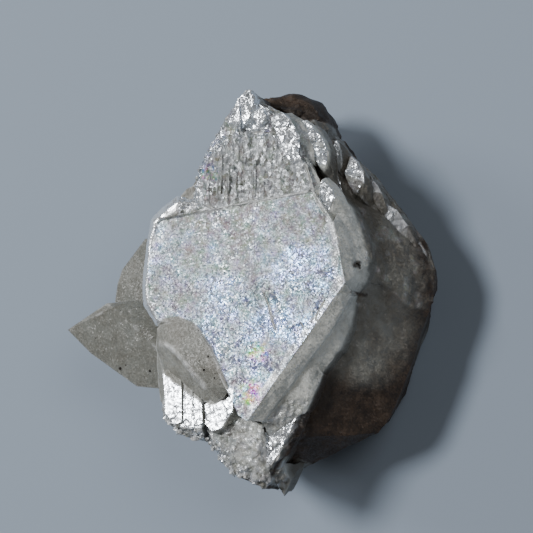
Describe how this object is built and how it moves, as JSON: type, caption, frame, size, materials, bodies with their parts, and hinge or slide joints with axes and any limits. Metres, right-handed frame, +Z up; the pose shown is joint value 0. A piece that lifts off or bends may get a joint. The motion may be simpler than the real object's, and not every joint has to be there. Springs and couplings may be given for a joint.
{
  "type": "tunellite crystal",
  "caption": "Intergrown tunellite crystal cluster with a broad pearly cleavage face, stepped prisms along one side and pointed wedge crystals on the other.",
  "frame": {"origin": "under the middle of the cluster's bounding box, on the flat face that it rests on", "axes": "+Z up, along the normal of the big cleavage face; +Y along the prisms, towards their pointed upper end; +X towards the stepped side, away from the wedge-shaped crystals"},
  "size_m": [0.0446, 0.0472, 0.022],
  "materials": {
    "tunellite": "pearly cleavage faces, dull translucent growth faces"
  },
  "bodies": {
    "root": {"tunellite_crystal": "tunellite"}
  },
  "joints": []
}
